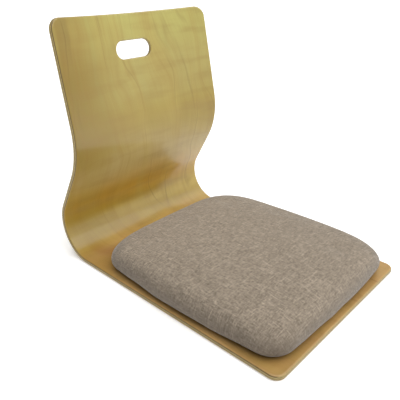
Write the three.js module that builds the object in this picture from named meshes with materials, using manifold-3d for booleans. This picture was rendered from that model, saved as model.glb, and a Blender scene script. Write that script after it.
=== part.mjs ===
// Floor chair: one S-bent moulded plywood shell with a hand slot, and an upholstered seat pad screwed on.
// Millimetres, +Z up, front edge of the seat towards -Y, both sides alike about x = 0.
// The shell is built around y = 0, where the flat seat ends and the rear bend begins.
// At the end the whole chair moves so that the origin lies on the floor under the middle of its box.

import * as THREE from 'three';
import { mergeVertices } from 'three/addons/utils/BufferGeometryUtils.js';
import Module from 'manifold-3d';

const wasm = await Module();
wasm.setup();

// Shell: the board, and the side view of its rear (lower) surface
const shellWidth = 380;
const boardThickness = 9;
const seatFlatLength = 457;
const rearBendRadius = 72;
const rearBendTurn = THREE.MathUtils.degToRad(121.3);
const waistLength = 82.5;
const lumbarRadius = 139;
const backLean = THREE.MathUtils.degToRad(10);
const upperBackLength = 190;
const backHollowDepth = 28;
const frontCornerRadius = 17.5;
const topCornerRadius = 23;
const edgeRoundRadius = 3;

// Lay-up of the board
const faceVeneerThickness = 0.9;
const corePlyCount = 5;
const glueFilm = 0.06;

// Hand slot
const slotLength = 87.5;
const slotHeight = 35;
const slotBelowTop = 69;

// Seat pad: its outline at the widest level has bowed sides and ends between round corners
const padSideBow = 13;
const padEndBow = 7.2;
const padSideSetback = 14;
const padFrontSetback = 4.3;
const padRearSetback = 34.3;
const padCornerWidth = shellWidth - 2 * padSideSetback;
const padCornerDepth = seatFlatLength - padFrontSetback - padRearSetback - 2 * padEndBow;
const padCornerRadius = 40;
const padSideDrawIn = 18;
const padWidestHeight = 18;
const padShoulderReach = 27;
const padShoulderHeight = 51;
const padShoulderCornerRadius = 119;
const padCrown = 10;
const coverThickness = 1.5;
const hemWidth = 26;
const liningThickness = 0.6;
const padBoardThickness = 6;
const padBoardSetback = 1.5;
const layerClearance = 0.3;

// Seat screws, countersunk from below, and the flanged nuts in the pad board
const screwDiameter = 6;
const screwLength = 16;
const screwHeadDiameter = 12;
const screwHeadSunk = 0.4;
const screwSocketAcross = 4;
const screwSocketDepth = 2.2;
const screwFromBoardSide = 48;
const screwFromBoardEnd = 58;
const nutBarrelDiameter = 8.6;
const nutBarrelLength = 5;
const nutFlangeDiameter = 18;
const nutFlangeThickness = 1.2;
const hardwareClearance = 0.3;

// Staples that hold the cover's hem to the pad board
const stapleCount = 12;
const stapleCrown = 10;
const stapleLeg = 5;
const stapleWireWidth = 1.2;
const stapleWireThickness = 0.7;
const stapleClearance = 0.12;

// Every cutter runs past what it cuts by this much
const overrun = 5;

// Fineness of the curved surfaces, in steps
const columnsAcross = 6;
const rearBendSteps = 12;
const waistSteps = 3;
const lumbarSteps = 5;
const upperBackSteps = 1;
const shellCornerSteps = 4;
const padSideSteps = 4;
const padCornerSteps = 5;
const padEdgeSteps = 4;
const padCrownSteps = 3;
const slotEndSteps = 6;
const roundSteps = 12;
const hexagonSides = 6;
const neighbourShare = 0.01;

// Materials
const faceVeneer = finish('#c3a566', 0.35, 0);
const corePlyLight = finish('#cbb27a', 0.6, 0);
const corePlyDark = finish('#9d7f4a', 0.6, 0);
const linenFabric = finish('#9e9282', 0.95, 0);
const foam = finish('#e8dfc4', 0.9, 0);
const lining = finish('#2b2b2d', 0.9, 0);
const plainPlywood = finish('#c9ab74', 0.7, 0);
const zincPlatedSteel = finish('#b6b8ba', 0.35, 1);

function finish(color, roughness, metalness) {
  return new THREE.MeshStandardMaterial({ color, roughness, metalness });
}

// Closed meshes and cuts

function closedGeometry(points, triangles) {
  const geometry = new THREE.BufferGeometry();
  geometry.setAttribute('position', new THREE.Float32BufferAttribute(points.flat(), 3));
  geometry.setIndex(triangles.flat());
  return geometry;
}

function toSolid(geometry) {
  const bare = geometry.clone();
  bare.deleteAttribute('normal');
  bare.deleteAttribute('uv');
  const merged = mergeVertices(bare);
  const index = merged.index.array;
  const triVerts = [];
  for (let i = 0; i < index.length; i += 3) {
    const [a, b, c] = index.slice(i, i + 3);
    if (a !== b && b !== c && c !== a) {
      triVerts.push(a, b, c);
    }
  }
  const mesh = new wasm.Mesh({
    numProp: 3,
    vertProperties: new Float32Array(merged.attributes.position.array),
    triVerts: new Uint32Array(triVerts),
  });
  return new wasm.Manifold(mesh);
}

function toGeometry(solid) {
  const mesh = solid.getMesh();
  const geometry = new THREE.BufferGeometry();
  geometry.setAttribute('position', new THREE.BufferAttribute(mesh.vertProperties, 3));
  geometry.setIndex(new THREE.BufferAttribute(mesh.triVerts, 1));
  return geometry;
}

function cut(geometry, cutters = []) {
  let solid = toSolid(geometry);
  for (const cutter of cutters) {
    solid = solid.subtract(toSolid(cutter));
  }
  return toGeometry(solid);
}

const chair = new THREE.Group();

function addPiece(name, geometry, material) {
  const mesh = new THREE.Mesh(geometry, material);
  mesh.name = name;
  chair.add(mesh);
}

// Side view of the shell: straight and round stretches along its rear surface, from the seat's front edge

const backAngle = Math.PI / 2 - backLean;
const lumbarTurn = rearBendTurn - backAngle;
const stretches = [
  { length: seatFlatLength, turn: 0 },
  { length: rearBendRadius * rearBendTurn, turn: rearBendTurn },
  { length: waistLength, turn: 0 },
  { length: lumbarRadius * lumbarTurn, turn: -lumbarTurn },
  { length: upperBackLength, turn: 0 },
];
const [backStart, waistStart, lumbarStart, upperBackStart, shellLength] = runningTotals(stretches);

function runningTotals(parts) {
  let total = 0;
  return parts.map((part) => (total += part.length));
}

function sideView(distance) {
  let y = -seatFlatLength;
  let z = 0;
  let heading = 0;
  let left = distance;
  for (const { length, turn } of stretches) {
    const run = Math.min(left, length);
    const bend = (turn * run) / length;
    if (turn === 0) {
      y += run * Math.cos(heading);
      z += run * Math.sin(heading);
    } else {
      const radius = length / turn;
      y += radius * (Math.sin(heading + bend) - Math.sin(heading));
      z -= radius * (Math.cos(heading + bend) - Math.cos(heading));
    }
    heading += bend;
    left -= run;
    if (left <= 0) {
      break;
    }
  }
  return { y, z, heading };
}

// The back is hollowed sideways: not at all below the waist, and fully from the top of the lumbar bend upwards
function hollowDepth(distance, x) {
  const rise = THREE.MathUtils.smoothstep(distance, waistStart, upperBackStart);
  const across = (2 * x) / shellWidth;
  return backHollowDepth * rise * (1 - across * across);
}

function rearSurfacePoint(distance, x) {
  const { y, z, heading } = sideView(distance);
  const depth = hollowDepth(distance, x);
  return new THREE.Vector3(x, y + depth * Math.sin(heading), z - depth * Math.cos(heading));
}

// Place on the rear surface with its three directions: across, up along the shell, and out of the sitter's side.
// The directions come from neighbouring points, a small share of the thickness away.
function shellFrame(distance, x) {
  const reach = boardThickness * neighbourShare;
  const across = rearSurfacePoint(distance, x + reach).sub(rearSurfacePoint(distance, x - reach)).normalize();
  const below = rearSurfacePoint(Math.max(distance - reach, 0), x);
  const above = rearSurfacePoint(Math.min(distance + reach, shellLength), x);
  const outward = new THREE.Vector3().crossVectors(across, above.sub(below)).normalize();
  const up = new THREE.Vector3().crossVectors(outward, across);
  return { point: rearSurfacePoint(distance, x), across, up, outward };
}

// How far the rounded edge has drawn in at a height within the board's thickness
function edgeInset(height) {
  const depth = Math.min(height, boardThickness - height);
  const below = Math.max(edgeRoundRadius - depth, 0);
  return edgeRoundRadius - Math.sqrt(edgeRoundRadius ** 2 - below ** 2);
}

function evenly(from, to, steps) {
  return Array.from({ length: steps }, (_, i) => from + ((to - from) * (i + 1)) / steps);
}

// Rows across the shell from the front edge to the top: distance along it and half the width there
function shellRows(inset) {
  const halfWidth = shellWidth / 2;
  const corner = (radius, angle) => ({
    fromEnd: inset + (radius - inset) * (1 - Math.cos(angle)),
    half: halfWidth - radius + (radius - inset) * Math.sin(angle),
  });
  const angles = [0, ...evenly(0, Math.PI / 2, shellCornerSteps)];
  const front = angles.map((angle) => {
    const { fromEnd, half } = corner(frontCornerRadius, angle);
    return { distance: fromEnd, half };
  });
  const top = angles.map((angle) => {
    const { fromEnd, half } = corner(topCornerRadius, angle);
    return { distance: shellLength - fromEnd, half };
  });
  const between = [
    backStart,
    ...evenly(backStart, waistStart, rearBendSteps),
    ...evenly(waistStart, lumbarStart, waistSteps),
    ...evenly(lumbarStart, upperBackStart, lumbarSteps),
    ...evenly(upperBackStart, shellLength - topCornerRadius, upperBackSteps).slice(0, -1),
  ].map((distance) => ({ distance, half: halfWidth - inset }));
  return [...front, ...between, ...top.reverse()];
}

function shellSurface(height) {
  return shellRows(edgeInset(height)).map(({ distance, half }) => {
    const columns = [-half, ...evenly(-half, half, columnsAcross)];
    return columns.map((x) => {
      const { point, outward } = shellFrame(distance, x);
      return point.addScaledVector(outward, height).toArray();
    });
  });
}

// One bent ply between two heights in the board
function plyGeometry(low, high) {
  const lower = shellSurface(low);
  const upper = shellSurface(high);
  const rows = lower.length;
  const columns = columnsAcross + 1;
  const at = (row, column, side) => (side * rows + row) * columns + column;
  const triangles = [];
  const quad = (a, b, c, d) => triangles.push([a, b, c], [a, c, d]);
  for (let row = 0; row < rows - 1; row += 1) {
    for (let column = 0; column < columnsAcross; column += 1) {
      quad(at(row, column, 1), at(row, column + 1, 1), at(row + 1, column + 1, 1), at(row + 1, column, 1));
      quad(at(row, column, 0), at(row + 1, column, 0), at(row + 1, column + 1, 0), at(row, column + 1, 0));
    }
    quad(at(row, 0, 0), at(row, 0, 1), at(row + 1, 0, 1), at(row + 1, 0, 0));
    const last = columnsAcross;
    quad(at(row, last, 0), at(row + 1, last, 0), at(row + 1, last, 1), at(row, last, 1));
  }
  for (let column = 0; column < columnsAcross; column += 1) {
    quad(at(0, column, 0), at(0, column + 1, 0), at(0, column + 1, 1), at(0, column, 1));
    const last = rows - 1;
    quad(at(last, column, 0), at(last, column, 1), at(last, column + 1, 1), at(last, column + 1, 0));
  }
  return closedGeometry([...lower.flat(), ...upper.flat()], triangles);
}

function place(geometry, xAxis, yAxis, zAxis, origin) {
  const matrix = new THREE.Matrix4().makeBasis(xAxis, yAxis, zAxis).setPosition(origin);
  return geometry.applyMatrix4(matrix);
}

// Hand slot with round ends, opened a little more near the faces, where its edge is rounded
function slotCutter(height) {
  const radius = slotHeight / 2 + edgeInset(height);
  const halfStraight = (slotLength - slotHeight) / 2;
  const outline = new THREE.Shape();
  outline.absarc(halfStraight, 0, radius, -Math.PI / 2, Math.PI / 2);
  outline.absarc(-halfStraight, 0, radius, Math.PI / 2, (3 * Math.PI) / 2);
  outline.closePath();
  const depth = boardThickness + 2 * overrun;
  const body = new THREE.ExtrudeGeometry(outline, { depth, bevelEnabled: false, curveSegments: slotEndSteps });
  const { point, across, up, outward } = shellFrame(shellLength - slotBelowTop, 0);
  return place(body, across, up, outward, point.addScaledVector(outward, -overrun));
}

// Seat pad levels, counted from the seat's upper face

const padBottom = boardThickness + layerClearance;
const hemTop = padBottom + coverThickness;
const padBoardBottom = hemTop + layerClearance;
const padBoardTop = padBoardBottom + padBoardThickness;
const nutFlangeBottom = padBoardTop + layerClearance;
const nutFlangeTop = nutFlangeBottom + nutFlangeThickness;
const padMiddleY = -seatFlatLength + padFrontSetback + padEndBow + padCornerDepth / 2;
const padHalfWidth = padCornerWidth / 2;
const padHalfDepth = padCornerDepth / 2;

// One level line of the pad: a rounded rectangle, drawn in evenly and then bowed outwards between its corners
function padRing(inset, z, cornerRadius = padCornerRadius - inset, share = 1) {
  const radius = Math.max(cornerRadius, layerClearance);
  const cornerX = padHalfWidth - inset - radius;
  const cornerY = padHalfDepth - inset - radius;
  const corners = [[cornerX, cornerY], [-cornerX, cornerY], [-cornerX, -cornerY], [cornerX, -cornerY]];
  const flat = [];
  corners.forEach(([x, y], quarter) => {
    const start = (quarter * Math.PI) / 2;
    for (const angle of [start, ...evenly(start, start + Math.PI / 2, padCornerSteps)]) {
      flat.push([x + radius * Math.cos(angle), y + radius * Math.sin(angle)]);
    }
    const [nextX, nextY] = corners[(quarter + 1) % corners.length];
    const end = start + Math.PI / 2;
    const stepsX = evenly(x, nextX, padSideSteps).slice(0, -1);
    const stepsY = evenly(y, nextY, padSideSteps).slice(0, -1);
    stepsX.forEach((stepX, i) => {
      flat.push([stepX + radius * Math.cos(end), stepsY[i] + radius * Math.sin(end)]);
    });
  });
  return flat.map(([x, y]) => {
    const sideBow = 1 + (padSideBow / padHalfWidth) * (1 - (y / padHalfDepth) ** 2);
    const endBow = 1 + (padEndBow / padHalfDepth) * (1 - (x / padHalfWidth) ** 2);
    return [share * x * sideBow, padMiddleY + share * y * endBow, z];
  });
}

// The pad's side from its base edge over the widest level to the shoulder, at a depth below its outer face.
// Both halves are quarter ellipses, and the upper one ends where the crown's slope takes over.
// Towards the base edge the corners stay parallel to the widest level's, and towards the shoulder they grow rounder.
function padSideRings(depth) {
  const shoulderRise = padShoulderHeight - padWidestHeight;
  const crownSlope = (2 * padCrown) / (padHalfWidth - padShoulderReach);
  const lastAngle = Math.atan2(shoulderRise, padShoulderReach * crownSlope);
  const arc = (reach, rise, lastRadius, angles) => angles.map((angle) => {
    const normal = new THREE.Vector2(Math.cos(angle) / reach, Math.sin(angle) / rise).normalize();
    const drawnInShare = 1 - Math.cos(angle);
    return {
      inset: reach * drawnInShare + depth * normal.x,
      z: padBottom + padWidestHeight + rise * Math.sin(angle) - depth * normal.y,
      cornerRadius: padCornerRadius + (lastRadius - padCornerRadius) * drawnInShare - depth * normal.x,
    };
  });
  const baseAngles = [-Math.PI / 2, ...evenly(-Math.PI / 2, 0, padEdgeSteps)];
  return [
    ...arc(padSideDrawIn, padWidestHeight, padCornerRadius - padSideDrawIn, baseAngles),
    ...arc(padShoulderReach, shoulderRise, padShoulderCornerRadius, evenly(0, lastAngle, padEdgeSteps)),
  ];
}

// Outer skin of a pad layer: side rings, crown rings that shrink towards the middle, and the point on top
function padSkin(depth) {
  const sides = padSideRings(depth);
  const shoulder = sides[sides.length - 1];
  const crownShares = evenly(1, 0, padCrownSteps).slice(0, -1);
  const crownRing = (share) => {
    const z = shoulder.z + padCrown * (1 - share * share);
    return padRing(shoulder.inset, z, shoulder.cornerRadius, share);
  };
  const rings = [
    ...sides.map(({ inset, z, cornerRadius }) => padRing(inset, z, cornerRadius)),
    ...crownShares.map(crownRing),
  ];
  return { rings, peak: [0, padMiddleY, shoulder.z + padCrown] };
}

// Triangles of a stack of rings that starts at a vertex number, closed by a fan to one more point
function ringStack(rings, peak, start, facingOut) {
  const around = rings[0].length;
  const triangles = [];
  const add = (a, b, c) => triangles.push(facingOut ? [a, b, c] : [a, c, b]);
  rings.slice(1).forEach((_, level) => {
    for (let i = 0; i < around; i += 1) {
      const a = start + level * around + i;
      const b = start + level * around + ((i + 1) % around);
      add(a, b, b + around);
      add(a, b + around, a + around);
    }
  });
  const top = start + (rings.length - 1) * around;
  for (let i = 0; i < around; i += 1) {
    add(top + i, top + ((i + 1) % around), start + rings.length * around);
  }
  return { points: [...rings.flat(), peak], triangles };
}

// Fabric cover: a skin turned in under the pad board as a flat hem, open in the middle below
function coverGeometry() {
  const hemInset = padSideDrawIn + hemWidth;
  const outer = padSkin(0);
  const inner = padSkin(coverThickness);
  outer.rings.unshift(padRing(hemInset, padBottom));
  inner.rings.unshift(padRing(hemInset, hemTop));
  const outside = ringStack(outer.rings, outer.peak, 0, true);
  const inside = ringStack(inner.rings, inner.peak, outside.points.length, false);
  const around = outer.rings[0].length;
  const wall = [];
  for (let i = 0; i < around; i += 1) {
    const next = (i + 1) % around;
    const above = outside.points.length;
    wall.push([i, above + next, next], [i, above + i, above + next]);
  }
  const points = [...outside.points, ...inside.points];
  return closedGeometry(points, [...outside.triangles, ...inside.triangles, ...wall]);
}

function foamBlank() {
  const skin = padSkin(coverThickness + layerClearance);
  const outside = ringStack(skin.rings, skin.peak, 0, true);
  const around = skin.rings[0].length;
  const middle = outside.points.length;
  const base = Array.from({ length: around }, (_, i) => [(i + 1) % around, i, middle]);
  const points = [...outside.points, [0, padMiddleY, skin.rings[0][0][2]]];
  return closedGeometry(points, [...outside.triangles, ...base]);
}

// A flat layer of the pad with the outline of one level line
function padLayer(inset, bottom, top) {
  const outline = new THREE.Shape(padRing(inset, 0).map(([x, y]) => new THREE.Vector2(x, y)));
  const body = new THREE.ExtrudeGeometry(outline, { depth: top - bottom, bevelEnabled: false });
  return body.translate(0, 0, bottom);
}

// Round pieces stand on +Z; the profile lists [radius, height] from its lowest point on the axis upwards
function turned(profile) {
  const outline = profile.map(([radius, height]) => new THREE.Vector2(radius, height));
  return new THREE.LatheGeometry(outline, roundSteps).rotateX(Math.PI / 2);
}

function disc(radius, bottom, top) {
  return turned([[0, bottom], [radius, bottom], [radius, top], [0, top]]);
}

// Countersunk screw from below, widened by a clearance where it is used as a cutter
function screwBody(clearance, bottom, top) {
  const headRadius = screwHeadDiameter / 2 + clearance;
  const shankRadius = screwDiameter / 2 + clearance;
  const headTop = screwHeadSunk + headRadius - shankRadius;
  const rim = bottom === screwHeadSunk ? [] : [[headRadius, screwHeadSunk]];
  return turned([[0, bottom], [headRadius, bottom], ...rim, [shankRadius, headTop], [shankRadius, top], [0, top]]);
}

function screwGeometry() {
  const socketRadius = screwSocketAcross / 2 / Math.cos(Math.PI / hexagonSides);
  const depth = screwSocketDepth + overrun;
  const socket = new THREE.CylinderGeometry(socketRadius, socketRadius, depth, hexagonSides);
  socket.rotateX(Math.PI / 2).translate(0, 0, screwHeadSunk + screwSocketDepth - depth / 2);
  return cut(screwBody(0, screwHeadSunk, screwHeadSunk + screwLength), [socket]);
}

function flangedNutGeometry() {
  const bore = screwDiameter / 2 + hardwareClearance;
  const barrel = nutBarrelDiameter / 2;
  const barrelBottom = nutFlangeBottom - nutBarrelLength;
  return cut(turned([
    [bore, barrelBottom],
    [barrel, barrelBottom],
    [barrel, nutFlangeBottom],
    [nutFlangeDiameter / 2, nutFlangeBottom],
    [nutFlangeDiameter / 2, nutFlangeTop],
    [bore, nutFlangeTop],
    [bore, barrelBottom],
  ]));
}

// Staple seen from the front, legs up, grown on all sides where it is used as a cutter
function stapleBody(growth) {
  const outer = stapleCrown / 2 + growth;
  const inner = stapleCrown / 2 - stapleWireThickness - growth;
  const legTop = stapleLeg + growth;
  const crownTop = stapleWireThickness + growth;
  const corners = [
    [-outer, -growth], [outer, -growth], [outer, legTop], [inner, legTop],
    [inner, crownTop], [-inner, crownTop], [-inner, legTop], [-outer, legTop],
  ];
  const outline = new THREE.Shape(corners.map(([x, y]) => new THREE.Vector2(x, y)));
  const depth = stapleWireWidth + 2 * growth;
  return new THREE.ExtrudeGeometry(outline, { depth, bevelEnabled: false }).translate(0, 0, -depth / 2);
}

// Staples stand along the middle of the hem, evenly spaced round the pad
function stapleAt(number, growth) {
  const line = padRing(padSideDrawIn + hemWidth / 2, padBottom).map((point) => new THREE.Vector3(...point));
  const route = new THREE.CatmullRomCurve3(line, true);
  const share = (number - 1) / stapleCount;
  const tangent = route.getTangentAt(share);
  const up = new THREE.Vector3(0, 0, 1);
  const across = new THREE.Vector3().crossVectors(tangent, up);
  return place(stapleBody(growth), tangent, up, across, route.getPointAt(share));
}

function numbers(count) {
  return Array.from({ length: count }, (_, i) => i + 1);
}

// Screw places, worked out from the pad board's sides and ends
const boardInset = padSideDrawIn + padBoardSetback;
const screwX = padHalfWidth - boardInset - screwFromBoardSide;
const screwY = padHalfDepth - boardInset - screwFromBoardEnd;
const screwPlaces = [
  { name: 'front_right', x: -screwX, y: padMiddleY - screwY },
  { name: 'front_left', x: screwX, y: padMiddleY - screwY },
  { name: 'rear_right', x: -screwX, y: padMiddleY + screwY },
  { name: 'rear_left', x: screwX, y: padMiddleY + screwY },
];

function atScrews(makeCutter) {
  return screwPlaces.map(({ x, y }) => makeCutter().translate(x, y, 0));
}

// Plies from the sitter's side to the rear: face veneer, cores, face veneer
function layUp() {
  const coreThickness = (boardThickness - 2 * faceVeneerThickness) / corePlyCount;
  const thicknesses = [faceVeneerThickness, ...Array(corePlyCount).fill(coreThickness), faceVeneerThickness];
  let top = boardThickness;
  return thicknesses.map((thickness, i) => {
    const isFront = i === 0;
    const isRear = i === thicknesses.length - 1;
    const high = isFront ? top : top - glueFilm / 2;
    top -= thickness;
    const low = isRear ? 0 : top + glueFilm / 2;
    const layer = isFront ? 'front_face' : isRear ? 'rear_face' : 'core';
    const coreMaterial = i % 2 === 0 ? corePlyLight : corePlyDark;
    const material = layer === 'core' ? coreMaterial : faceVeneer;
    return { name: `shell_ply_${i + 1}_${layer}`, low, high, material };
  });
}

function buildShell() {
  const screwHoles = atScrews(() => screwBody(hardwareClearance, -overrun, boardThickness + overrun));
  for (const { name, low, high, material } of layUp()) {
    addPiece(name, cut(plyGeometry(low, high), [slotCutter((low + high) / 2), ...screwHoles]), material);
  }
}

function buildPad() {
  const stapleCuts = numbers(stapleCount).map((number) => stapleAt(number, stapleClearance));
  addPiece('pad_cover', cut(coverGeometry(), stapleCuts), linenFabric);

  const boardPocket = padLayer(boardInset - layerClearance, -overrun, padBoardTop + layerClearance);
  const flangeRadius = nutFlangeDiameter / 2 + hardwareClearance;
  const flangePockets = atScrews(() => disc(flangeRadius, padBoardTop, nutFlangeTop + layerClearance));
  addPiece('pad_foam', cut(foamBlank(), [boardPocket, ...flangePockets]), foam);

  const barrelRadius = nutBarrelDiameter / 2 + hardwareClearance;
  const barrelHoles = atScrews(() => disc(barrelRadius, padBoardBottom - overrun, padBoardTop + overrun));
  const board = padLayer(boardInset, padBoardBottom, padBoardTop);
  addPiece('pad_board', cut(board, [...barrelHoles, ...stapleCuts]), plainPlywood);

  const shankRadius = screwDiameter / 2 + hardwareClearance;
  const shankHoles = atScrews(() => disc(shankRadius, padBottom - overrun, hemTop + overrun));
  const liningInset = padSideDrawIn + hemWidth + layerClearance;
  const underLining = padLayer(liningInset, hemTop - liningThickness, hemTop);
  addPiece('pad_under_lining', cut(underLining, shankHoles), lining);
}

function buildHardware() {
  for (const { name, x, y } of screwPlaces) {
    addPiece(`seat_screw_${name}`, screwGeometry().translate(x, y, 0), zincPlatedSteel);
    addPiece(`flanged_nut_${name}`, flangedNutGeometry().translate(x, y, 0), zincPlatedSteel);
  }
  for (const number of numbers(stapleCount)) {
    addPiece(`hem_staple_${number}`, cut(stapleAt(number, 0)), zincPlatedSteel);
  }
}

buildShell();
buildPad();
buildHardware();

const box = new THREE.Box3().setFromObject(chair);
chair.position.set(0, -(box.min.y + box.max.y) / 2, -box.min.z);

const floorChair = new THREE.Group();
floorChair.add(chair);

export default floorChair;
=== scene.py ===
"""Looks of a floor chair: an S-bent moulded plywood shell with a hand slot, and an upholstered seat pad.

Metres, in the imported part's frame: +Z up, the seat's front edge towards -Y, both sides alike about x = 0.
Places on the shell are given as x and as the distance along its rear surface from the seat's front edge.
"""

from math import atan2, ceil, cos, hypot, pi, radians, sin

import bmesh
import bpy
import numpy as np
from mathutils import Matrix, Vector
from mathutils.geometry import delaunay_2d_cdt


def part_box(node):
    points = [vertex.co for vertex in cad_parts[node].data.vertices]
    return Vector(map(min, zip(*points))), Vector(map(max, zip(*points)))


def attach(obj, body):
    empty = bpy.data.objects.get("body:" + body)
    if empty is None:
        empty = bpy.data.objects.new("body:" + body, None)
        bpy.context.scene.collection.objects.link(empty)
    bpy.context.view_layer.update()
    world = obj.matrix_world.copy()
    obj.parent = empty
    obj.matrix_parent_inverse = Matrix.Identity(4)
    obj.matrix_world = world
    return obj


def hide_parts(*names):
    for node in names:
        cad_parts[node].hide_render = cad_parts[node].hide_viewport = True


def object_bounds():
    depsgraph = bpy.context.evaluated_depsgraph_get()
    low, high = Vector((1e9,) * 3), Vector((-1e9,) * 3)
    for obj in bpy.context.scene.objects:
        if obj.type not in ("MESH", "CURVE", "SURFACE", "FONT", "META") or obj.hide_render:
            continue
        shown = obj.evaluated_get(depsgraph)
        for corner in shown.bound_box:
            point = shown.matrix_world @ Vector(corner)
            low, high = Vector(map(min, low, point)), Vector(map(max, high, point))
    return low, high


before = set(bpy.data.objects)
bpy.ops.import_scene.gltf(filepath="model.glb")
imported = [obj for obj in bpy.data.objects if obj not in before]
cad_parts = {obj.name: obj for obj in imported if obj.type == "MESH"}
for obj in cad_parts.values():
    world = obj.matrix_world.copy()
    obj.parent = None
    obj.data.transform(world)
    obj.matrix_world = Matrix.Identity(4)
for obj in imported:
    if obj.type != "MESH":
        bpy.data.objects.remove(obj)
cad_low, cad_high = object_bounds()

# Shell: the board and the side view of its rear surface
shell_width = cad_high.x - cad_low.x
seat_front_y = cad_low.y
board_thickness = 0.009
seat_flat_length = 0.457
rear_bend_radius = 0.072
rear_bend_turn = radians(121.3)
waist_length = 0.0825
lumbar_radius = 0.139
back_lean = radians(10)
upper_back_length = 0.190
back_hollow_depth = 0.028
front_corner_radius = 0.0175
top_corner_radius = 0.023
edge_round_radius = 0.003

# Lay-up of the board
face_veneer_thickness = 0.0009
core_ply_count = 5
glue_film = 0.00006

# Hand slot
slot_length = 0.0875
slot_height = 0.035
slot_below_top = 0.069

# Seat screws and their countersunk holes
screw_diameter = 0.006
screw_length = 0.016
screw_head_diameter = 0.012
screw_head_sunk = 0.0004
screw_edge_break = 0.0003
screw_socket_across = 0.004
screw_socket_depth = 0.0022
screw_socket_point = 0.0008
hardware_clearance = 0.0003

# Seat pad: its outline at the widest level, and its side
pad_side_setback = 0.014
pad_front_setback = 0.0043
pad_rear_setback = 0.0343
pad_side_bow = 0.013
pad_end_bow = 0.0072
pad_corner_width = shell_width - 2 * pad_side_setback
pad_corner_depth = seat_flat_length - pad_front_setback - pad_rear_setback - 2 * pad_end_bow
pad_corner_radius = 0.040
pad_side_draw_in = 0.018
pad_widest_height = 0.018
pad_shoulder_reach = 0.027
pad_shoulder_height = 0.051
pad_shoulder_corner_radius = 0.119
pad_crown = 0.010
cover_thickness = 0.0015
hem_width = 0.026
layer_clearance = 0.0003
staple_count = 12

# The cover is simulated from a slightly smaller and flatter form, and may move this far
blank_depth = 0.0008
blank_crown = 0.0055
swell_limit = 0.007
sink_limit = 0.0004
slide_limit = 0.002
voxel_size = 0.005
cloth_pressure = 2.0
cloth_stiffness = 80.0
cloth_mass = 0.15
cloth_quality = 6
cloth_frames = 20
foam_clearance = 0.003

# Waves that the staples pull into the cover's base: how many go round it, how strong, and their start
base_wave_depth = 0.0022
base_waves = [(staple_count, 1.0, 0.6), (7, 0.7, 2.1), (19, 0.5, 0.0)]

# Tints of the face veneers along the shell, partly the wood's own colour and partly painted light and shade
# that follow the bends, and the shares of its length between which each comes in
front_tint = (166, 127, 78)
along_tints_with_painted_shading = [
    (176, 138, 88),
    (160, 116, 66),
    (168, 142, 54),
    (196, 151, 58),
    (188, 166, 108),
    (161, 140, 66),
    (172, 159, 92),
    (179, 172, 96),
]
tint_and_shading_fade_shares = [
    (0.031, 0.153),
    (0.255, 0.428),
    (0.458, 0.529),
    (0.540, 0.611),
    (0.611, 0.692),
    (0.692, 0.774),
    (0.784, 0.855),
    (0.886, 0.988),
]

# Regions with painted lighting of their own: painted highlights in the bend and on the seat's front, painted
# light where the bend starts and on the seat's sides, and painted shade on the back's right. Each of their
# ramps has a way, the two shares of the shell's length or half width between which it runs, and its levels
# before and after. Left and right are the sitter's.
painted_lighting_tints = {
    "painted highlight at mid bend": (214, 190, 120),
    "painted light where the bend starts": (222, 184, 116),
    "painted shade on the back's right": (135, 113, 46),
    "painted light on the seat's sides": (204, 164, 106),
    "painted highlight on the seat's front": (204, 164, 106),
}
painted_lighting_ramps = {
    "painted highlight at mid bend": [
        ("along", 0.524, 0.550, 0.0, 1.0),
        ("along", 0.555, 0.577, 0.48, 0.0),
    ],
    "painted light where the bend starts": [
        ("along", 0.453, 0.479, 0.0, 1.0),
        ("along", 0.494, 0.519, 0.36, 0.0),
        ("across", -0.842, -0.526, 0.0, 1.0),
    ],
    "painted shade on the back's right": [
        ("across", -1.0, 0.0, 1.0, 0.0),
        ("along", 0.468, 0.550, 0.0, 1.0),
        ("along", 0.692, 0.784, 0.5, 0.9),
        ("along", 0.886, 0.967, 1.0, 0.55),
    ],
    "painted light on the seat's sides": [
        ("outwards", 0.763, 0.921, 0.0, 0.75),
        ("along", 0.031, 0.122, 0.0, 1.0),
        ("along", 0.326, 0.428, 1.0, 0.0),
    ],
    "painted highlight on the seat's front": [
        ("across", -0.737, -0.316, 0.0, 0.35),
        ("along", 0.020, 0.081, 1.0, 0.0),
    ],
}

# Marks in the finishes: how many there are per metre across and along, and a seed for each kind
slow_bend_marks = (5.0, 3.2, 0.0)
knee_marks = (16.0, 11.0, 3.0)
vein_break_marks = (12.0, 6.0, 9.0)
broad_streak_marks = (20.0, 1.2, 11.0)
medium_streak_marks = (75.0, 2.6, 17.0)
fibre_marks = (620.0, 13.0, 23.0)
mottle_marks = (8.0, 42.0, 29.0)
wide_vein_marks = (8.0, 1.1, 31.0)
close_vein_marks = (11.0, 1.1, 37.0)
lacquer_wave_marks = (14.0, 9.0, 41.0)
patch_marks = (9.0, 14.0, 47.0)
edge_stripe_marks = (260.0, 260.0, 0.0)
raw_grain_marks = (240.0, 9.0, 0.0)
raw_pore_marks = (1800.0, 60.0, 0.0)
lining_fibre_marks = (1300.0, 420.0, 1.0)
melange_marks = (95.0, 95.0, 7.0)
edge_pores_per_metre = 1400.0
foam_cells_per_metre = 900.0
foam_patches_per_metre = 30.0
spangles_per_metre = 420.0
scratches_per_metre = 2200.0
floor_patches_per_metre = 3.0

# How far the lines of the grain wander, and how they lean across the shell per metre along it
slow_bend_reach = 0.10
knee_reach = 0.026
grain_lean = 0.12

# Weave of the cover: marks per thread and per metre along it, and the heights between which painted shade
# darkens the sides
thread_pitch = 0.0009
thread_shade_marks = (3.7, 140.0, 0.0)
slub_marks = (5.3, 36.0, 5.0)
warp_seed = 2.5
weft_seed = 13.5
thread_relief_share = 0.7
shade_top_height = 0.058
shade_full_height = 0.028

# Dots pressed into the lining, in radians per metre
lining_dot_rate = 1800.0

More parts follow.
